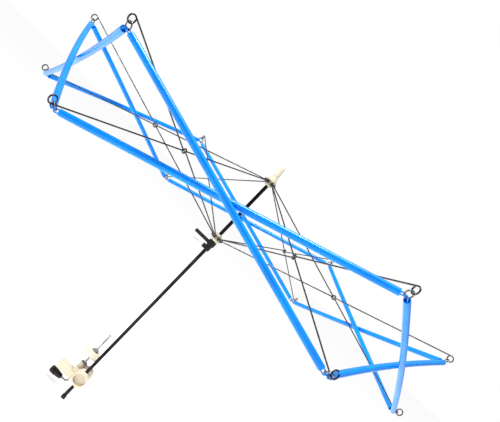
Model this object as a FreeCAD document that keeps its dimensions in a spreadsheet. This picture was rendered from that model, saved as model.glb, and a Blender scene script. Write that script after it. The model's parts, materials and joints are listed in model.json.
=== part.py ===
"""Umbrella swift: a folding yarn holder on a table clamp.

Six columns of paired wire ribs scissor between an upper hub and a sliding lower hub.
Twelve sleeved arms run between the rib ends and cross in pairs on the six faces.

Millimetres and degrees. +Z is up along the shaft. The origin is the centre of the clamp's
lower jaw face, where the table's underside rests.
"""
import FreeCAD
import Part
import math
import os

from FreeCAD import Placement, Rotation, Vector

COLUMNS = 6

DIMENSIONS = [
    # where the shaft stands, measured from the lower jaw face
    ("shaft_x", 34.0),
    ("shaft_y", -21.0),
    ("scissor_height", 384.5),
    ("first_column_angle", 56.9),
    # scissor ribs
    ("open_angle", 17.7),
    ("inner_arm", 203.0),
    ("outer_arm", 208.0),
    ("rib_wire", 1.0),
    ("small_eye_wire", 1.1),
    ("hub_eye", 2.2),
    ("crossing_eye", 3.2),
    ("crossing_offset", 2.45),
    ("rim_eye", 5.0),
    ("rim_eye_turn", 318.0),
    # joining rings at the rim
    ("joining_ring", 5.2),
    ("joining_wire", 0.9),
    ("ring_link", 8.0),
    ("upper_ring_lean", 68.0),
    ("lower_ring_lean", 35.0),
    ("upper_hook_angle", 50.0),
    ("lower_hook_angle", 40.0),
    # sleeved arms
    ("sleeve_outer", 4.2),
    ("sleeve_bore", 3.25),
    ("arm_bow", 4.8),
    ("arm_wire", 1.0),
    ("link_wire", 0.8),
    ("link_half_width", 2.3),
    ("link_reach", 6.0),
    ("sleeve_start", 4.4),
    ("link_slack", 0.4),
    # shaft and hubs
    ("shaft_radius", 3.0),
    ("running_gap", 0.05),
    ("shaft_foot", 34.0),
    ("shaft_head", 476.0),
    ("hub_ring", 8.5),
    ("hub_ring_wire", 0.8),
    ("hub_waist", 4.6),
    ("hub_wide_flange", 8.8),
    ("hub_narrow_flange", 6.4),
    ("hub_groove", 3.7),
    ("flange_thick", 3.0),
    ("upper_neck", 6.5),
    ("lower_neck", 1.2),
    ("tip_gap", 0.4),
    ("tip_length", 18.0),
    ("tip_base", 4.6),
    ("tip_end", 3.2),
    ("cap_radius", 4.0),
    ("cap_length", 4.4),
    ("cap_wall", 1.2),
    # slide lock clip under the lower hub
    ("clip_gap", 0.6),
    ("clip_radius", 7.0),
    ("clip_collar_height", 9.0),
    ("clip_sleeve_radius", 5.4),
    ("clip_height", 18.5),
    ("clip_bar_length", 31.0),
    ("clip_bar_width", 7.0),
    ("clip_bar_thick", 5.4),
    ("clip_bar_drop", 2.8),
    ("clip_block_reach", 9.5),
    ("clip_block_height", 7.0),
    ("clip_spring_wire", 0.7),
    ("clip_spring_half", 2.4),
    ("clip_spring_length", 20.0),
    ("clip_spring_drop", 14.6),
    # table clamp
    ("screw_x", 20.0),
    ("screw_radius", 2.2),
    ("screw_top", 83.0),
    ("crank_drop", 21.5),
    ("crank_bend", 5.0),
    ("crank_reach", 32.0),
    ("grip_length", 21.0),
    ("grip_root", 4.4),
    ("grip_head", 6.6),
    ("grip_head_length", 9.0),
    ("grip_flute", 1.9),
    ("jaw_plate_half", 12.0),
    ("jaw_plate_depth", 30.0),
    ("jaw_plate_thick", 9.0),
    ("jaw_round", 4.0),
    ("boss_radius", 6.4),
    ("boss_height", 20.5),
    ("washer_radius", 6.4),
    ("washer_thick", 1.4),
    ("block_length", 29.0),
    ("block_front", 8.7),
    ("block_back", 12.0),
    ("block_height", 12.0),
    ("seat_radius", 12.0),
    ("jaw_face_height", 38.5),
    ("jaw_radius", 17.0),
    ("jaw_top_radius", 8.0),
    ("jaw_height", 9.0),
    ("nut_radius", 5.6),
    ("nut_height", 2.4),
    # swivel barrel
    ("barrel_height", 8.0),
    ("barrel_radius", 12.5),
    ("barrel_half_length", 12.6),
    ("barrel_gap", 0.4),
    ("recess_radius", 10.4),
    ("recess_depth", 6.0),
    ("bolt_radius", 3.5),
    ("bolt_start", 5.5),
    ("bolt_end", 15.6),
    ("bolt_head_radius", 6.5),
    ("bolt_head_thick", 3.0),
]

doc = FreeCAD.newDocument("umbrella_swift")
sheet = doc.addObject("Spreadsheet::Sheet", "Dimensions")


def write_cells(rows, first_row):
    """Put plain numbers in the sheet, each with its alias."""
    for row, (alias, number) in enumerate(rows, first_row):
        sheet.set("A%d" % row, alias)
        sheet.set("B%d" % row, repr(number))
        sheet.setAlias("B%d" % row, alias)
    doc.recompute()


write_cells(DIMENSIONS, 1)


def dim(alias):
    """The number in one cell."""
    return float(sheet.get(alias))


# ---- document helpers ------------------------------------------------------------------

X_AXIS = Vector(1, 0, 0)
Y_AXIS = Vector(0, 1, 0)
Z_AXIS = Vector(0, 0, 1)
ZERO = Vector(0, 0, 0)
nodes = []


def bind(item, sizes):
    """Tie properties to sheet cells; # stands for the sheet."""
    for name, expression in sizes.items():
        item.setExpression(name, expression.replace("#", "Dimensions."))
    return item


def along(start, direction):
    """Placement at start with local Z turned to the direction."""
    return Placement(start, Rotation(Z_AXIS, direction))


def cylinder(name, radius, length, start=ZERO, direction=Z_AXIS):
    item = doc.addObject("Part::Cylinder", name)
    item.Placement = along(start, direction)
    return bind(item, {"Radius": radius, "Height": length})


def cone(name, radius_low, radius_high, length, start=ZERO, direction=Z_AXIS):
    item = doc.addObject("Part::Cone", name)
    item.Placement = along(start, direction)
    return bind(item, {"Radius1": radius_low, "Radius2": radius_high, "Height": length})


def ring(name, mean_radius, wire_radius, centre=ZERO, axis=Z_AXIS):
    item = doc.addObject("Part::Torus", name)
    item.Placement = along(centre, axis)
    return bind(item, {"Radius1": mean_radius, "Radius2": wire_radius})


def box(name, length, width, height, corner):
    item = doc.addObject("Part::Box", name)
    item.Placement = Placement(corner, Rotation())
    return bind(item, {"Length": length, "Width": width, "Height": height})


def ball(name, radius, centre):
    item = doc.addObject("Part::Sphere", name)
    item.Placement = Placement(centre, Rotation())
    return bind(item, {"Radius": radius})


def join(name, pieces):
    item = doc.addObject("Part::MultiFuse", name)
    item.Shapes = pieces
    return item


def cut(name, base, tools):
    tool = tools[0] if len(tools) == 1 else join(name + "_tools", tools)
    item = doc.addObject("Part::Cut", name)
    item.Base = base
    item.Tool = tool
    return item


def group(name, pieces):
    """Separate solids kept side by side in one sub-part."""
    item = doc.addObject("Part::Compound", name)
    item.Links = pieces
    return item


def bent_wire(name, edges, radius):
    """A round wire swept along a centre line."""
    spine = doc.addObject("Part::Feature", name + "_line")
    spine.Shape = Part.Wire(edges)
    first = edges[0]
    heading = first.tangentAt(first.FirstParameter)
    section = doc.addObject("Part::Circle", name + "_section")
    section.Placement = along(first.valueAt(first.FirstParameter), heading)
    bind(section, {"Radius": radius})
    item = doc.addObject("Part::Sweep", name)
    item.Sections = [section]
    item.Spine = (spine, [])
    item.Solid = True
    item.Frenet = False
    return item


def rounded_line(points, radii):
    """Straight runs joined by tangent arcs; one radius for each inner point."""
    edges = []
    start = points[0]
    for before, corner, after, radius in zip(points, points[1:], points[2:], radii):
        to_before = (before - corner).normalize()
        to_after = (after - corner).normalize()
        half = to_before.getAngle(to_after) / 2
        reach = radius / math.tan(half)
        bisector = (to_before + to_after).normalize()
        entry = corner + to_before * reach
        leave = corner + to_after * reach
        middle = corner + bisector * (radius / math.sin(half) - radius)
        edges.append(Part.LineSegment(start, entry).toShape())
        edges.append(Part.Arc(entry, middle, leave).toShape())
        start = leave
    edges.append(Part.LineSegment(start, points[-1]).toShape())
    return edges


def node(item, name, placement=None):
    """Name a sub-part, place it and keep it for export."""
    item.Label = name
    if placement is not None:
        item.Placement = placement
    nodes.append((name, item))


# ---- linkage geometry ------------------------------------------------------------------

OPEN = math.radians(dim("open_angle"))
SHAFT_FOOT = Vector(dim("shaft_x"), dim("shaft_y"), 0)
UPPER_HUB_HEIGHT = dim("scissor_height") + dim("inner_arm") * math.sin(OPEN)
LOWER_HUB_HEIGHT = dim("scissor_height") - dim("inner_arm") * math.sin(OPEN)


def column_angle(column):
    """Azimuth of a column, in degrees."""
    return dim("first_column_angle") + column * 360.0 / COLUMNS


def column_placement(column):
    """Column frame: X outward, Y towards the next column, Z up, on the shaft axis."""
    return Placement(SHAFT_FOOT, Rotation(Z_AXIS, column_angle(column)))


def crossing_point():
    """The scissor pivot in the column frame."""
    return Vector(dim("hub_ring") + dim("inner_arm") * math.cos(OPEN), 0, dim("scissor_height"))


def rib_frame(rising):
    """Frame on a rib: X outward along the wire, Z square to it, origin at the pivot."""
    turn = -dim("open_angle") if rising else dim("open_angle")
    return Placement(crossing_point(), Rotation(Y_AXIS, turn))


def rim_eye_centre(rising):
    """Centre of the open eye at the rim end, in the column frame."""
    side = -1 if rising else 1
    return rib_frame(rising).multVec(Vector(dim("outer_arm"), 0, side * dim("rim_eye")))


def ring_direction(upper):
    """The way a joining ring hangs from its eye: inward and down."""
    lean = math.radians(dim("upper_ring_lean") if upper else dim("lower_ring_lean"))
    return Vector(-math.cos(lean), 0, -math.sin(lean))


def ring_centre(upper):
    return rim_eye_centre(upper) + ring_direction(upper) * dim("ring_link")


def hook_point(upper, side):
    """Where an arm hooks on a joining ring; side is +1 towards the next column."""
    angle = math.radians(dim("upper_hook_angle" if upper else "lower_hook_angle"))
    reach = ring_direction(upper) * math.sin(angle) + Y_AXIS * (side * math.cos(angle))
    return ring_centre(upper) + reach * dim("joining_ring")


def hook_tangent(upper, side):
    """Direction of the ring's wire at the hook point."""
    angle = math.radians(dim("upper_hook_angle" if upper else "lower_hook_angle"))
    return ring_direction(upper) * math.cos(angle) - Y_AXIS * (side * math.sin(angle))


def arm_ends(column, outer):
    """Upper and lower hook points of the arm on the face after a column."""
    side = 1 if outer else -1
    high = column_placement(column if outer else column + 1)
    low = column_placement(column + 1 if outer else column)
    return high.multVec(hook_point(True, side)), low.multVec(hook_point(False, -side))


def face_normal(column):
    angle = math.radians(column_angle(column + 0.5))
    return Vector(math.cos(angle), math.sin(angle), 0)


def arm_placement(column, outer):
    """Arm frame: X from the upper to the lower hook, Z square to the face."""
    top, bottom = arm_ends(column, outer)
    heading = (bottom - top).normalize()
    side = face_normal(column).cross(heading)
    return Placement(top, Rotation(heading, side, heading.cross(side), "XYZ"))


ARM_LENGTH = (arm_ends(0, True)[1] - arm_ends(0, True)[0]).Length
SLEEVE_LENGTH = ARM_LENGTH - 2 * dim("sleeve_start")
BEND_RADIUS = (SLEEVE_LENGTH ** 2 / 4 + dim("arm_bow") ** 2) / (2 * dim("arm_bow"))
BEND_ANGLE = 2 * math.degrees(math.asin(SLEEVE_LENGTH / 2 / BEND_RADIUS))
write_cells(
    [("arm_length", ARM_LENGTH), ("bend_radius", BEND_RADIUS)],
    len(DIMENSIONS) + 1,
)


# ---- ribs ------------------------------------------------------------------------------

def rim_eye_edge(side):
    """Open eye that curls from the end of a rib; side +1 curls up."""
    radius = dim("rim_eye")
    centre = Vector(dim("outer_arm"), 0, side * radius)
    turn = math.radians(dim("rim_eye_turn"))

    def point(angle):
        return centre + Vector(radius * math.sin(angle), 0, -side * radius * math.cos(angle))

    return Part.Arc(point(0), point(turn / 2), point(turn)).toShape()


def falling_rib(column):
    """Upper hub to lower rim, with a round eye at the scissor crossing."""
    name = "rib_down_%d" % (column + 1)
    hub_end = Vector(-dim("inner_arm"), 0, 0)
    hub_eye = ring(name + "_hub_eye", "#hub_eye", "#small_eye_wire", hub_end, Y_AXIS)
    inner = cylinder(
        name + "_inner",
        "#rib_wire",
        "#inner_arm - #hub_eye - #crossing_eye",
        hub_end + X_AXIS * dim("hub_eye"),
        X_AXIS,
    )
    crossing_eye = ring(name + "_crossing_eye", "#crossing_eye", "#small_eye_wire", ZERO, Y_AXIS)
    start = Vector(dim("crossing_eye"), 0, 0)
    end = Vector(dim("outer_arm"), 0, 0)
    outer_line = [Part.LineSegment(start, end).toShape(), rim_eye_edge(1)]
    outer = bent_wire(name + "_outer", outer_line, "#rib_wire")
    rib = join(name + "_rib", [hub_eye, inner, crossing_eye, outer])
    node(rib, name, column_placement(column) * rib_frame(False))


def rising_rib(column):
    """Lower hub to upper rim, stepping sideways through the other rib's eye."""
    name = "rib_up_%d" % (column + 1)
    step = dim("crossing_offset")
    lead = 14.0
    settle = 30.0
    points = [
        Vector(-dim("inner_arm") + dim("hub_eye"), 0, 0),
        Vector(-dim("inner_arm") + settle, 0, 0),
        Vector(-lead, step, 0),
        Vector(0, step, 0),
        Vector(0, -step, 0),
        Vector(lead, -step, 0),
        Vector(dim("outer_arm") - settle, 0, 0),
        Vector(dim("outer_arm"), 0, 0),
    ]
    gentle = 80.0
    tight = 1.3
    line = rounded_line(points, [gentle, gentle, tight, tight, gentle, gentle])
    wire = bent_wire(name + "_wire", line + [rim_eye_edge(-1)], "#rib_wire")
    hub_end = Vector(-dim("inner_arm"), 0, 0)
    hub_eye = ring(name + "_hub_eye", "#hub_eye", "#small_eye_wire", hub_end, Y_AXIS)
    rib = join(name + "_rib", [hub_eye, wire])
    node(rib, name, column_placement(column) * rib_frame(True))


def joining_ring(column, upper):
    """Closed ring that ties two arms to the eye of one rib."""
    name = "%s_ring_%d" % ("upper" if upper else "lower", column + 1)
    axis = Y_AXIS.cross(ring_direction(upper))
    item = ring(name + "_body", "#joining_ring", "#joining_wire")
    node(item, name, column_placement(column) * along(ring_centre(upper), axis))


# ---- sleeved arms ----------------------------------------------------------------------

def half_ring(name, centre, first, square):
    """Half turn of link wire from the first direction through the square one."""
    item = doc.addObject("Part::Torus", name)
    item.Angle3 = 180
    item.Placement = Placement(centre, Rotation(first, square, first.cross(square), "XYZ"))
    return bind(item, {"Radius1": "#link_half_width", "Radius2": "#link_wire"})


def link_loop(name, near, far, plane_normal):
    """Long closed wire loop between two bend centres, square to plane_normal."""
    heading = (far - near).normalize()
    across = plane_normal.cross(heading).normalize()
    offset = across * dim("link_half_width")
    length = "%.3f" % (far - near).Length
    return [
        half_ring(name + "_far", far, across, heading),
        half_ring(name + "_near", near, across * -1, heading * -1),
        cylinder(name + "_left", "#link_wire", length, near + offset, heading),
        cylinder(name + "_right", "#link_wire", length, near - offset, heading),
    ]


def arc_rod(name, radius, spare):
    """Rod bowed like the sleeve, longer than it by a spare angle at each end."""
    item = doc.addObject("Part::Torus", name)
    item.Angle3 = BEND_ANGLE + 2 * spare
    bind(item, {"Radius1": "#bend_radius", "Radius2": radius})
    half = math.radians(BEND_ANGLE / 2 + spare)
    centre = Vector(ARM_LENGTH / 2, 0, dim("arm_bow") - BEND_RADIUS)
    first = Vector(-math.sin(half), 0, math.cos(half))
    square = Vector(math.cos(half), 0, math.sin(half))
    item.Placement = Placement(centre, Rotation(first, square, Y_AXIS, "XYZ"))
    return item


def core_wire(name, bow):
    """The wire inside the sleeve, from loop to loop, following the bow."""
    start = dim("link_reach") + dim("link_half_width")
    third = ARM_LENGTH / 3
    height = bow * 0.88 * dim("arm_bow")
    points = [
        Vector(start, 0, 0),
        Vector(third, 0, height),
        Vector(ARM_LENGTH - third, 0, height),
        Vector(ARM_LENGTH - start, 0, 0),
    ]
    bend = 300.0
    return bent_wire(name, rounded_line(points, [bend, bend]), "#arm_wire")


def sleeved_arm(column, outer):
    """Plastic sleeve over a wire with a long loop at each end, bowed off its partner."""
    name = "arm_%s_%d" % ("out" if outer else "in", column + 1)
    placement = arm_placement(column, outer)
    bow = 1 if outer else -1
    to_arm = placement.inverse().Rotation
    side = 1 if outer else -1
    high = column_placement(column if outer else column + 1).Rotation
    low = column_placement(column + 1 if outer else column).Rotation
    upper_normal = to_arm.multVec(high.multVec(hook_tangent(True, side)))
    lower_normal = to_arm.multVec(low.multVec(hook_tangent(False, -side)))
    upper_normal.x = 0
    lower_normal.x = 0

    reach = dim("link_reach")
    slack = dim("link_slack")
    upper_loop = link_loop(name + "_upper_loop", X_AXIS * reach, ZERO, upper_normal)
    lower_far = X_AXIS * (ARM_LENGTH + slack)
    lower_near = X_AXIS * (ARM_LENGTH - reach)
    lower_loop = link_loop(name + "_lower_loop", lower_near, lower_far, lower_normal)
    core = core_wire(name + "_core", bow)
    skin = arc_rod(name + "_skin", "#sleeve_outer", 0.0)
    hollow = arc_rod(name + "_hollow", "#sleeve_bore", 0.1)
    sleeve = cut(name + "_sleeve", skin, [hollow])
    if bow < 0:
        sleeve.Placement = Placement(ZERO, Rotation(X_AXIS, 180))
    wire = join(name + "_wire", upper_loop + lower_loop + [core])
    arm = group(name + "_pieces", [sleeve, wire])
    node(arm, name, placement)


# ---- hubs ------------------------------------------------------------------------------

def on_shaft(height):
    return SHAFT_FOOT + Z_AXIS * height


def rib_hub(name, height, up):
    """Grooved hub: narrow flange on the ribs' side, wide flange behind, then a neck."""
    neck = "#upper_neck" if up else "#lower_neck"
    way = Z_AXIS if up else Z_AXIS * -1
    base = on_shaft(height)
    groove = dim("hub_groove")
    flange = dim("flange_thick")
    pieces = [
        cylinder(name + "_waist", "#hub_waist", "2 * #hub_groove", base - way * groove, way),
        cylinder(
            name + "_narrow",
            "#hub_narrow_flange",
            "#flange_thick",
            base - way * (groove + flange),
            way,
        ),
        cylinder(name + "_wide", "#hub_wide_flange", "#flange_thick", base + way * groove, way),
        cone(
            name + "_neck",
            "#hub_wide_flange - 1.5",
            "#hub_waist + 0.6",
            neck,
            base + way * (groove + flange),
            way,
        ),
    ]
    body = join(name + "_body", pieces)
    bore = cylinder(
        name + "_bore",
        "#shaft_radius + #running_gap",
        "60",
        base - Z_AXIS * 30,
    )
    node(cut(name + "_cut", body, [bore]), name)
    hoop = ring(name + "_hoop", "#hub_ring", "#hub_ring_wire", base)
    node(hoop, name.replace("hub", "rib_ring"))


# ---- shaft, tip and cap ----------------------------------------------------------------

def shaft():
    rod = cylinder("shaft_rod", "#shaft_radius", "#shaft_head + #shaft_foot", on_shaft(-dim("shaft_foot")))
    node(rod, "shaft")


def spindle_tip():
    """Slim cap that keeps the upper hub on the shaft."""
    start = UPPER_HUB_HEIGHT + dim("hub_groove") + dim("flange_thick") + dim("upper_neck") + dim("tip_gap")
    body = cone("tip_body", "#tip_base", "#tip_end", "#tip_length", on_shaft(start))
    nose = ball("tip_nose", "#tip_end", on_shaft(start + dim("tip_length")))
    whole = join("tip_whole", [body, nose])
    socket = cylinder(
        "tip_socket",
        "#shaft_radius",
        "60",
        on_shaft(dim("shaft_head") - 60),
    )
    node(cut("tip_cut", whole, [socket]), "spindle_tip")


def shaft_end_cap():
    """Soft cup pushed over the foot of the shaft."""
    base = on_shaft(-dim("shaft_foot") - dim("cap_wall"))
    body = cylinder("cap_body", "#cap_radius", "#cap_length", base)
    rim = cone(
        "cap_rim",
        "#cap_radius",
        "#shaft_radius + 0.6",
        "1.6",
        base + Z_AXIS * dim("cap_length"),
    )
    socket = cylinder("cap_socket", "#shaft_radius", "#cap_length + 10", base + Z_AXIS * dim("cap_wall"))
    node(cut("cap_cut", join("cap_whole", [body, rim]), [socket]), "shaft_end_cap")


# ---- slide lock clip -------------------------------------------------------------------

def clip_top():
    """Height of the clip's upper face, just under the lower hub."""
    hub_foot = LOWER_HUB_HEIGHT - dim("hub_groove") - dim("flange_thick") - dim("lower_neck")
    return hub_foot - dim("clip_gap")


def clip_spring_root():
    """Where the spring wire leaves the clip's block."""
    return on_shaft(clip_top() - dim("clip_spring_drop")) - X_AXIS * (dim("clip_block_reach") - 2)


def clip():
    """Collar and sleeve on the shaft, with a finger bar and a sprung wire below it."""
    top = on_shaft(clip_top())
    down = Z_AXIS * -1
    collar = cylinder("clip_collar", "#clip_radius", "#clip_collar_height", top, down)
    sleeve = cylinder("clip_sleeve", "#clip_sleeve_radius", "#clip_height", top, down)
    half_width = dim("clip_bar_width") / 2
    bar_foot = -dim("clip_bar_drop") - dim("clip_bar_thick")
    corner = top + Vector(-dim("clip_bar_length"), -half_width, bar_foot)
    bar = box("clip_bar", "#clip_bar_length", "#clip_bar_width", "#clip_bar_thick", corner)
    bar_end = corner + Y_AXIS * half_width
    rounded_end = cylinder("clip_bar_end", "#clip_bar_width / 2", "#clip_bar_thick", bar_end)
    block_corner = top + Vector(-dim("clip_block_reach"), -half_width, -dim("clip_height"))
    block = box(
        "clip_block",
        "#clip_block_reach",
        "#clip_bar_width",
        "#clip_block_height",
        block_corner,
    )
    whole = join("clip_whole", [collar, sleeve, bar, rounded_end, block])
    bore = cylinder("clip_bore", "#shaft_radius + #running_gap", "#clip_height + 4", top + Z_AXIS * 2, down)
    root = clip_spring_root()
    pocket = box(
        "clip_pocket",
        "6",
        "2 * #clip_spring_half + 2 * #clip_spring_wire + 0.7",
        "4",
        root + Vector(-4.4, -dim("clip_spring_half") - dim("clip_spring_wire") - 0.35, -1.5),
    )
    node(cut("clip_cut", whole, [bore, pocket]), "clip_body")

    reach = dim("clip_spring_length")
    half = dim("clip_spring_half")
    points = [
        Vector(0, half, 0),
        Vector(-reach, half * 0.7, -2.2),
        Vector(-reach, -half * 0.7, -2.2),
        Vector(0, -half, 0),
    ]
    legs = bent_wire("spring_legs", rounded_line(points, [1.5, 1.5]), "#clip_spring_wire")
    pin = cylinder("spring_pin", "#clip_spring_wire", "2 * #clip_spring_half", Y_AXIS * -half, Y_AXIS)
    near = ball("spring_near", "#clip_spring_wire", Y_AXIS * -half)
    far = ball("spring_far", "#clip_spring_wire", Y_AXIS * half)
    spring = join("spring_whole", [legs, pin, near, far])
    node(spring, "clip_spring", Placement(root, Rotation()))


# ---- table clamp -----------------------------------------------------------------------

def screw_axis(height):
    return Vector(dim("screw_x"), 0, height)


def clamp_body():
    """Lower jaw, screw boss and the block that carries the swivel."""
    half = dim("jaw_plate_half")
    plate_corner = Vector(-half, -dim("jaw_plate_depth") / 2, -dim("jaw_plate_thick"))
    plate = box(
        "body_plate",
        "#jaw_plate_half + #screw_x",
        "#jaw_plate_depth",
        "#jaw_plate_thick",
        plate_corner,
    )
    boss_foot = screw_axis(-dim("jaw_plate_thick"))
    boss = cylinder("body_boss", "#boss_radius", "#boss_height + #jaw_plate_thick", boss_foot)
    block = box(
        "body_block",
        "#block_length",
        "#block_front + #block_back",
        "#block_height + #jaw_plate_thick",
        Vector(half + 1.5, -dim("block_front"), -dim("jaw_plate_thick")),
    )
    seat = cylinder(
        "body_seat",
        "#seat_radius",
        "#block_front + #block_back",
        Vector(dim("shaft_x"), -dim("block_front"), dim("barrel_height")),
        Y_AXIS,
    )
    whole = join("body_whole", [plate, boss, block, seat])
    screw_bore = cylinder("body_screw_bore", "#screw_radius + #running_gap", "80", screw_axis(-40))
    bolt_bore = cylinder(
        "body_bolt_bore",
        "#bolt_radius + #running_gap",
        "60",
        Vector(dim("shaft_x"), -30, dim("barrel_height")),
        Y_AXIS,
    )
    node(cut("body_cut", whole, [screw_bore, bolt_bore]), "clamp_body")


def clamp_screw():
    """Threaded rod with a cranked lower end."""
    corner = screw_axis(-dim("crank_drop"))
    points = [screw_axis(dim("screw_top")), corner, corner - X_AXIS * (dim("crank_reach") - 3)]
    rod = bent_wire("screw_rod", rounded_line(points, [dim("crank_bend")]), "#screw_radius")
    node(rod, "clamp_screw")
    washer_foot = screw_axis(dim("boss_height") + 0.3)
    washer = cylinder("washer_disc", "#washer_radius", "#washer_thick", washer_foot)
    hole = cylinder("washer_hole", "#screw_radius", "20", screw_axis(dim("boss_height") - 5))
    node(cut("washer_cut", washer, [hole]), "thrust_washer")


def crank_grip():
    """Fluted hand grip on the cranked end of the screw."""
    root = screw_axis(-dim("crank_drop")) - X_AXIS * (dim("crank_reach") - dim("grip_length"))
    outward = X_AXIS * -1
    stem_length = "#grip_length - #grip_head_length"
    stem = cone("grip_stem", "#grip_root", "#grip_head - 0.8", stem_length, root, outward)
    head_start = root + outward * (dim("grip_length") - dim("grip_head_length"))
    head = cylinder("grip_head_body", "#grip_head", "#grip_head_length", head_start, outward)
    tip = head_start + outward * dim("grip_head_length")
    end = cone("grip_end", "#grip_head", "#grip_head - 2.4", "2.4", tip, outward)
    whole = join("grip_whole", [stem, head, end])
    socket_length = "#grip_length - 3"
    tools = [cylinder("grip_socket", "#screw_radius", socket_length, root, outward)]
    flutes = 8
    for number in range(flutes):
        angle = 2 * math.pi * number / flutes
        rim = Vector(0, math.cos(angle), math.sin(angle)) * (dim("grip_head") + 0.7)
        flute_start = head_start + rim - outward * 0.5
        tools.append(cylinder("grip_flute_%d" % number, "#grip_flute", "30", flute_start, outward))
    node(cut("grip_cut", whole, tools), "crank_grip")


def upper_jaw():
    """Domed jaw that slides on the screw, with the nut that drives it down."""
    base = screw_axis(dim("jaw_face_height"))
    rim_height = 2.5
    rim = cylinder("jaw_rim", "#jaw_radius", "2.5", base)
    shoulder = base + Z_AXIS * rim_height
    dome = cone("jaw_dome", "#jaw_radius", "#jaw_top_radius", "#jaw_height - 2.5", shoulder)
    bore = cylinder("jaw_bore", "#screw_radius + 0.3", "40", base - Z_AXIS * 10)
    node(cut("jaw_cut", join("jaw_whole", [rim, dome]), [bore]), "upper_jaw")
    seat = screw_axis(dim("jaw_face_height") + dim("jaw_height") + 0.05)
    washer = cylinder("nut_flange", "#nut_radius + 0.8", "1.1", seat)
    hexagon = doc.addObject("Part::Prism", "nut_hexagon")
    hexagon.Polygon = 6
    hexagon.Placement = Placement(seat + Z_AXIS, Rotation())
    bind(hexagon, {"Circumradius": "#nut_radius - 0.6", "Height": "#nut_height"})
    nut_bore = cylinder("nut_bore", "#screw_radius + #running_gap", "20", seat - Z_AXIS * 5)
    node(cut("nut_cut", join("nut_whole", [washer, hexagon]), [nut_bore]), "jaw_nut")


def swivel():
    """Round barrel that carries the shaft and turns on a bolt in the clamp body."""
    axis_point = Vector(dim("shaft_x"), dim("shaft_y"), dim("barrel_height"))
    half = dim("barrel_half_length")
    front = axis_point - Y_AXIS * half
    body_length = "#barrel_half_length - #shaft_y - #block_front - #barrel_gap"
    body = cylinder("barrel_body", "#barrel_radius", body_length, front, Y_AXIS)
    recess = cylinder("barrel_recess", "#recess_radius", "#recess_depth", front, Y_AXIS)
    shaft_hole = cylinder("barrel_hole", "#shaft_radius + #running_gap", "60", axis_point - Z_AXIS * 30)
    bolt_start = axis_point + Y_AXIS * dim("bolt_start")
    bolt_hole = cylinder("barrel_bolt_hole", "#bolt_radius", "40", bolt_start, Y_AXIS)
    node(cut("barrel_cut", body, [recess, shaft_hole, bolt_hole]), "swivel_barrel")
    shank = cylinder("bolt_shank", "#bolt_radius", "#bolt_end - #shaft_y - #bolt_start", bolt_start, Y_AXIS)
    head_start = Vector(dim("shaft_x"), dim("block_back") + dim("barrel_gap"), dim("barrel_height"))
    head = cylinder("bolt_head", "#bolt_head_radius", "#bolt_head_thick", head_start, Y_AXIS)
    node(join("bolt_whole", [shank, head]), "swivel_bolt")


# ---- build, check and write ------------------------------------------------------------

def build():
    clamp_body()
    clamp_screw()
    crank_grip()
    upper_jaw()
    swivel()
    shaft()
    shaft_end_cap()
    spindle_tip()
    clip()
    rib_hub("upper_hub", UPPER_HUB_HEIGHT, True)
    rib_hub("lower_hub", LOWER_HUB_HEIGHT, False)
    for column in range(COLUMNS):
        falling_rib(column)
        rising_rib(column)
        joining_ring(column, True)
        joining_ring(column, False)
        sleeved_arm(column, True)
        sleeved_arm(column, False)
    doc.recompute()


def check_document():
    """Stop on any failed object or unusable shape."""
    for item in doc.Objects:
        if "Invalid" in item.State or "Error" in item.State:
            raise RuntimeError("object failed: %s %s" % (item.Label, item.State))
    for name, item in nodes:
        if item.Shape.isNull() or not item.Shape.isValid() or not item.Shape.Solids:
            raise RuntimeError("bad shape: %s" % name)


def write_parts():
    os.makedirs("parts", exist_ok=True)
    for name, item in nodes:
        item.Shape.exportStep("parts/%s.step" % name)
        print("%-18s solids %d volume %.1f" % (name, len(item.Shape.Solids), item.Shape.Volume))


build()
check_document()
write_parts()
print("arm length %.2f, nodes %d" % (ARM_LENGTH, len(nodes)))
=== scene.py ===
import json
import math

import bpy
from mathutils import Matrix, Vector


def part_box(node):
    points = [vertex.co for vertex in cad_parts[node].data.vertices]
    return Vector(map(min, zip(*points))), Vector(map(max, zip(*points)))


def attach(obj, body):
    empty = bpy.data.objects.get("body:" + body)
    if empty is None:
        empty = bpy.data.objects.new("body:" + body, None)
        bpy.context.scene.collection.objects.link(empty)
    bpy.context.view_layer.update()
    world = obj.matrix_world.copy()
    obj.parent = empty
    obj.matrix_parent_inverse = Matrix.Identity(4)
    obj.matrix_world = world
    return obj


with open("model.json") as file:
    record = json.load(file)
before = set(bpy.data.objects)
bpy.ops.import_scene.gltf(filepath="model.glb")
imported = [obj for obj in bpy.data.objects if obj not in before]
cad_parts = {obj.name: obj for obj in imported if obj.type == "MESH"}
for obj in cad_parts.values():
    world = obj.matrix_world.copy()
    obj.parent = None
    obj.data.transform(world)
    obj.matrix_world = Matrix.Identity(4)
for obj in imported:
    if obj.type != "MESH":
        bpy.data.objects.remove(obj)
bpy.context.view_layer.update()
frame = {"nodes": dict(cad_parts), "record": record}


# ---- places, all from the frame --------------------------------------------------------

def middle(node):
    """Centre of a node's box."""
    low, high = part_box(node)
    return (Vector(low) + Vector(high)) / 2


def lowest(node):
    return Vector(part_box(node)[0])


def highest(node):
    return Vector(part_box(node)[1])


SHAFT = middle("shaft")
SCREW = middle("thrust_washer")
FLOOR_HEIGHT = lowest("shaft_end_cap").z
UPPER_HUB = middle("upper_rib_ring")
LOWER_HUB = middle("lower_rib_ring")


# ---- shader maths ----------------------------------------------------------------------

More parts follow.
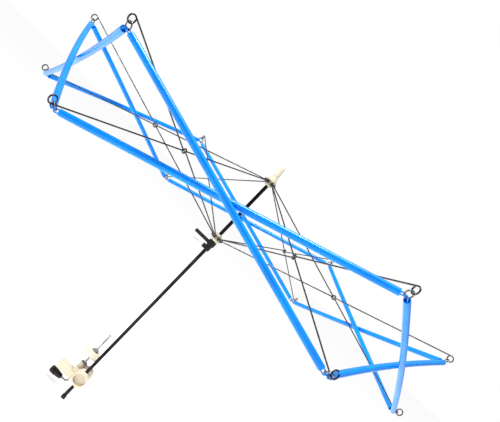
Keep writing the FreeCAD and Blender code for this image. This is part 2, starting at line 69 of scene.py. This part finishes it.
class Maths:
    """A socket that can be ramped, blended and fed to a node."""

    def __init__(self, tree, socket):
        self.tree = tree
        self.socket = socket

    def node(self, kind, inputs, output=0, **settings):
        """Add a node, fill its inputs and return one of its outputs."""
        made = self.tree.nodes.new(kind)
        for name, setting in settings.items():
            setattr(made, name, setting)
        for name, value in inputs.items():
            self.fill(made.inputs[name], value)
        return Maths(self.tree, made.outputs[output])

    def fill(self, socket, value):
        if isinstance(value, Maths):
            self.tree.links.new(value.socket, socket)
        else:
            socket.default_value = value

    def larger_of(self, other):
        return self.node("ShaderNodeMath", {0: self, 1: other}, operation="MAXIMUM")

    def ramp(self, low, high, start=0.0, end=1.0):
        """Map low..high to start..end, held at both ends."""
        inputs = {"Value": self, "From Min": low, "From Max": high, "To Min": start, "To Max": end}
        return self.node("ShaderNodeMapRange", inputs, clamp=True)

    def blend(self, first, second):
        """Colour between two, by this factor."""
        inputs = {0: self, 6: first, 7: second}
        return self.node("ShaderNodeMix", inputs, 2, data_type="RGBA")


def new_material(name, colour, roughness, metallic=0.0, coat=0.0):
    """A material with its shader, its place socket and its constant values."""
    material = bpy.data.materials.new(name)
    material.use_nodes = True
    material.diffuse_color = (*colour, 1)
    tree = material.node_tree
    shader = next(node for node in tree.nodes if node.type == "BSDF_PRINCIPLED")
    shader.inputs["Base Color"].default_value = (*colour, 1)
    shader.inputs["Roughness"].default_value = roughness
    shader.inputs["Metallic"].default_value = metallic
    shader.inputs["Coat Weight"].default_value = coat
    shader.inputs["Coat Roughness"].default_value = 0.12
    coordinates = tree.nodes.new("ShaderNodeTexCoord")
    return material, shader, Maths(tree, coordinates.outputs["Object"])


def noise(place, scale, detail=3.0, stretch=(1, 1, 1)):
    """Smooth noise, mostly from 0.3 to 0.7, finer along one axis if stretched."""
    inputs = {"Vector": place, "Scale": stretch}
    mapped = place.node("ShaderNodeMapping", inputs)
    return place.node("ShaderNodeTexNoise", {"Vector": mapped, "Scale": scale, "Detail": detail})


def bump(place, height, strength, distance):
    """A normal raised by a height pattern."""
    inputs = {"Height": height, "Strength": strength, "Distance": distance}
    return place.node("ShaderNodeBump", inputs)


def shade(shader, place, colour=None, roughness=None, normal=None):
    """Link the varying values to a shader."""
    for name, value in (("Base Color", colour), ("Roughness", roughness), ("Normal", normal)):
        if value is not None:
            place.fill(shader.inputs[name], value)


def tone(colour, factor):
    """A lighter or darker shade of a colour, for a colour socket."""
    return (*(min(1.0, part * factor) for part in colour), 1)


def sleeve_plastic():
    """Glossy extruded tube: even azure with faint cloudiness and a fine grain."""
    colour = (0.001, 0.23, 0.84)
    material, shader, place = new_material("sleeve_plastic", colour, 0.3, coat=0.04)
    shader.inputs["Specular IOR Level"].default_value = 0.22
    clouds = noise(place, 26.0)
    grain = noise(place, 900.0)
    mixed = clouds.ramp(0.35, 0.65).blend(tone(colour, 0.88), tone(colour, 1.1))
    shade(
        shader,
        place,
        colour=mixed,
        roughness=grain.ramp(0.3, 0.7, 0.2, 0.34),
        normal=bump(place, grain, 0.02, 0.0001),
    )
    return material


def spring_wire():
    """Drawn steel wire: grey with darker scale and fine marks."""
    colour = (0.07, 0.07, 0.073)
    material, shader, place = new_material("spring_wire", colour, 0.3, metallic=1.0)
    scale = noise(place, 160.0, 5.0)
    fine = noise(place, 2400.0)
    mixed = scale.ramp(0.38, 0.66).blend(tone(colour, 0.6), tone(colour, 1.5))
    shade(
        shader,
        place,
        colour=mixed,
        roughness=scale.ramp(0.3, 0.7, 0.2, 0.42),
        normal=bump(place, fine, 0.12, 0.0001),
    )
    return material


def hook_wire():
    """Plated wire of the joining rings, a little brighter than the ribs."""
    colour = (0.16, 0.158, 0.16)
    material, shader, place = new_material("hook_wire", colour, 0.22, metallic=1.0)
    fine = noise(place, 1500.0)
    dull = noise(place, 130.0, 4.0)
    mixed = dull.ramp(0.35, 0.68).blend(tone(colour, 0.55), tone(colour, 1.45))
    shade(
        shader,
        place,
        colour=mixed,
        roughness=dull.ramp(0.3, 0.7, 0.14, 0.34),
        normal=bump(place, fine, 0.08, 0.0001),
    )
    return material


def polished_rod():
    """Dark polished rod with fine rings of polish round it and faint marks."""
    colour = (0.02, 0.017, 0.018)
    material, shader, place = new_material("polished_rod", colour, 0.14, metallic=1.0)
    rings = noise(place, 70.0, 4.0, (1, 1, 40))
    marks = noise(place, 42.0, 5.0)
    mixed = marks.ramp(0.4, 0.7).blend(tone(colour, 0.8), tone(colour, 1.7))
    shade(
        shader,
        place,
        colour=mixed,
        roughness=rings.ramp(0.3, 0.7, 0.1, 0.24),
        normal=bump(place, rings, 0.06, 0.0001),
    )
    return material


def plated_steel():
    """Zinc plated fitting, slightly mottled."""
    colour = (0.40, 0.40, 0.40)
    material, shader, place = new_material("plated_steel", colour, 0.3, metallic=1.0)
    mottle = noise(place, 320.0, 4.0)
    mixed = mottle.ramp(0.36, 0.66).blend(tone(colour, 0.6), tone(colour, 1.2))
    shade(
        shader,
        place,
        colour=mixed,
        roughness=mottle.ramp(0.3, 0.7, 0.2, 0.45),
        normal=bump(place, mottle, 0.1, 0.0001),
    )
    return material


def ivory_plastic():
    """Moulded ivory: warm, a little cloudy, with a faint moulded texture."""
    colour = (0.74, 0.655, 0.50)
    material, shader, place = new_material("ivory_plastic", colour, 0.34, coat=0.15)
    clouds = noise(place, 60.0, 4.0)
    grain = noise(place, 1600.0)
    mixed = clouds.ramp(0.35, 0.68).blend(tone(colour, 0.9), tone(colour, 1.06))
    shade(
        shader,
        place,
        colour=mixed,
        roughness=grain.ramp(0.3, 0.7, 0.28, 0.42),
        normal=bump(place, grain, 0.06, 0.0002),
    )
    shader.inputs["Subsurface Weight"].default_value = 0.15
    shader.inputs["Subsurface Radius"].default_value = (0.004, 0.0025, 0.001)
    return material


def black_plastic():
    """Black moulding with a satin grain and faint dust."""
    colour = (0.006, 0.006, 0.0065)
    material, shader, place = new_material("black_plastic", colour, 0.42)
    shader.inputs["Specular IOR Level"].default_value = 0.3
    grain = noise(place, 1100.0, 4.0)
    dust = noise(place, 140.0, 5.0)
    mixed = dust.ramp(0.5, 0.75).blend(tone(colour, 1.0), tone(colour, 2.6))
    shade(
        shader,
        place,
        colour=mixed,
        roughness=grain.ramp(0.3, 0.7, 0.34, 0.54),
        normal=bump(place, grain, 0.15, 0.0002),
    )
    return material


def floor_paper():
    """Plain pale floor."""
    colour = (0.93, 0.93, 0.94)
    material, shader, place = new_material("floor_paper", colour, 0.75)
    grain = noise(place, 9.0)
    mixed = grain.ramp(0.3, 0.7).blend(tone(colour, 0.995), tone(colour, 1.0))
    shade(shader, place, colour=mixed)
    shader.inputs["Emission Color"].default_value = (1, 1, 1, 1)
    shader.inputs["Emission Strength"].default_value = 0.6
    return material


SLEEVE = sleeve_plastic()
WIRE = spring_wire()
HOOK = hook_wire()
ROD = polished_rod()
PLATED = plated_steel()
IVORY = ivory_plastic()
BLACK = black_plastic()

FINISH = {
    "blue_sleeve": SLEEVE,
    "rib_wire": WIRE,
    "polished_rod": ROD,
    "plated_fittings": PLATED,
    "ivory_plastic": IVORY,
    "black_plastic": BLACK,
}


def dress_nodes():
    """Give every CAD node its finish."""
    slots = {item["node"]: item["material_slot"] for item in frame["record"]["subparts"]}
    for name, item in frame["nodes"].items():
        material = FINISH[slots[name]]
        if "ring_" in name and "rib" not in name:
            material = HOOK
        if name == "clamp_screw":
            material = PLATED
        for slot in item.material_slots:
            slot.material = material
        for face in item.data.polygons:
            face.use_smooth = True


def screw_thread():
    """Rolled thread on the upper part of the clamp screw."""
    plain_end = 0.0008
    pitch = 0.00125
    crest = 0.00024
    thread_radius = 0.00212
    steps_per_turn = 14
    low = highest("thrust_washer").z
    high = highest("clamp_screw").z - plain_end
    steps = int((high - low) / pitch * steps_per_turn)
    curve = bpy.data.curves.new("screw_thread", "CURVE")
    curve.dimensions = "3D"
    curve.bevel_depth = crest
    curve.bevel_resolution = 1
    ridge = curve.splines.new("POLY")
    ridge.points.add(steps)
    for number, point in enumerate(ridge.points):
        angle = 2 * math.pi * number / steps_per_turn
        x = SCREW.x + thread_radius * math.cos(angle)
        y = SCREW.y + thread_radius * math.sin(angle)
        z = low + pitch * number / steps_per_turn
        point.co = (x, y, z, 1)
    item = bpy.data.objects.new("screw_thread", curve)
    bpy.context.collection.objects.link(item)
    curve.materials.append(PLATED)
    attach(item, "screw")


# ---- camera, light and floor -----------------------------------------------------------

def camera():
    """Nearly level camera, square to the shaft, rolled so that the shaft climbs to the right."""
    distance = 0.9275
    sideways = 0.0054
    below_hubs = 0.0106
    forward = Vector((0.0032, 0.9998, 0.0184)).normalized()
    right = Vector((0.7185, -0.0151, 0.6953))
    data = bpy.data.cameras.new("camera")
    data.sensor_width = 36
    data.lens = 41.1
    data.clip_start = 0.05
    item = bpy.data.objects.new("camera", data)
    bpy.context.collection.objects.link(item)
    right = (right - forward * right.dot(forward)).normalized()
    up = right.cross(forward)
    turn = Matrix((right, up, -forward)).transposed()
    height = (UPPER_HUB.z + LOWER_HUB.z) / 2 - below_hubs
    place = Vector((SHAFT.x + sideways, SHAFT.y - distance, height))
    item.matrix_world = Matrix.Translation(place) @ turn.to_4x4()
    bpy.context.scene.camera = item


def disc_light(name, from_hub, size, power):
    """Round light placed from the upper hub and aimed at it."""
    hub = Vector((SHAFT.x, SHAFT.y, UPPER_HUB.z))
    data = bpy.data.lights.new(name, "AREA")
    data.shape = "DISK"
    data.size = size
    data.energy = power
    item = bpy.data.objects.new(name, data)
    bpy.context.collection.objects.link(item)
    item.location = hub + Vector(from_hub)
    item.rotation_euler = (-Vector(from_hub)).to_track_quat("-Z", "Y").to_euler()


def surroundings():
    """White all round for the eye; reflections see a darker room in front of the object."""
    world = bpy.data.worlds.new("studio")
    bpy.context.scene.world = world
    world.use_nodes = True
    tree = world.node_tree
    sky = next(node for node in tree.nodes if node.type == "BACKGROUND")
    coordinates = tree.nodes.new("ShaderNodeTexCoord")
    towards = Maths(tree, coordinates.outputs["Generated"])
    bright_side = (-0.35, 0.9, 0.28)
    inputs = {0: towards, 1: bright_side}
    back = towards.node("ShaderNodeVectorMath", inputs, 1, operation="DOT_PRODUCT")
    room = back.ramp(-0.35, 0.25, 0.03, 0.35)
    light_path = tree.nodes.new("ShaderNodeLightPath")
    seen = Maths(tree, light_path.outputs["Is Camera Ray"])
    strength = room.larger_of(seen)
    sky.inputs["Color"].default_value = (1.0, 1.0, 1.0, 1)
    strength.fill(sky.inputs["Strength"], strength)


def studio():
    """A strong key nearly overhead, a weak fill from the front right, and soft light from above."""
    surroundings()
    disc_light("key", (-0.5, -0.5, 1.7), 0.5, 62.0)
    disc_light("fill", (0.9, -1.4, 0.2), 0.9, 4.0)
    overhead = bpy.data.lights.new("overhead", "SUN")
    overhead.energy = 0.5
    overhead.angle = math.radians(50)
    item = bpy.data.objects.new("overhead", overhead)
    bpy.context.collection.objects.link(item)
    item.rotation_euler = (math.radians(12), math.radians(14), 0)
    bpy.context.scene.view_settings.view_transform = "Standard"


def floor():
    """Large pale floor, just under the shaft's foot cap."""
    span = 30.0
    clear = 0.0005
    height = FLOOR_HEIGHT - clear
    corners = [(-span, -span), (span, -span), (span, span), (-span, span)]
    mesh = bpy.data.meshes.new("floor")
    mesh.from_pydata([(x, y, height) for x, y in corners], [], [(0, 1, 2, 3)])
    item = bpy.data.objects.new("floor", mesh)
    bpy.context.collection.objects.link(item)
    mesh.materials.append(floor_paper())


dress_nodes()
screw_thread()
camera()
studio()
floor()
